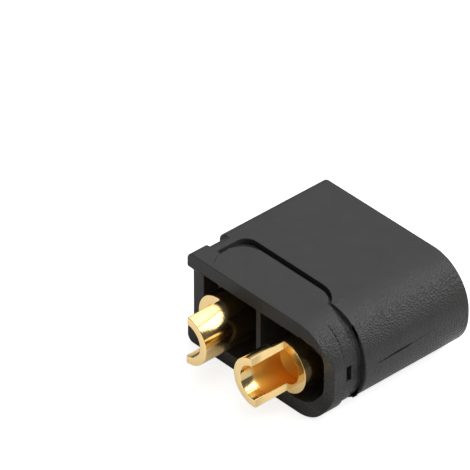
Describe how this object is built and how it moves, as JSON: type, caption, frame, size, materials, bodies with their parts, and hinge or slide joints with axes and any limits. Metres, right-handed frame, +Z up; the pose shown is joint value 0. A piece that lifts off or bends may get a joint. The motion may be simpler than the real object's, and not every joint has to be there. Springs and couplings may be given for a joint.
{
  "type": "power connector plug",
  "caption": "Keyed power plug: black moulded shroud, flat at one end and rounded at the other, around split bullet pins, with half-open solder cups at the rear.",
  "frame": {"origin": "middle of the object's length and width, on the surface that the housing's lower wide face rests on", "axes": "+X from the flat end of the housing to its rounded end, +Y along the contacts from the solder cups to the plug mouth, +Z up through the thickness"},
  "size_m": [0.016, 0.0176, 0.0081],
  "materials": {
    "housing_plastic": "fine matt texture, moulded",
    "contact_plating": "thin bright gold plating over turned and milled brass"
  },
  "bodies": {
    "root": {"housing": "housing_plastic", "flat_side_contact": "contact_plating", "round_side_contact": "contact_plating"}
  },
  "joints": []
}
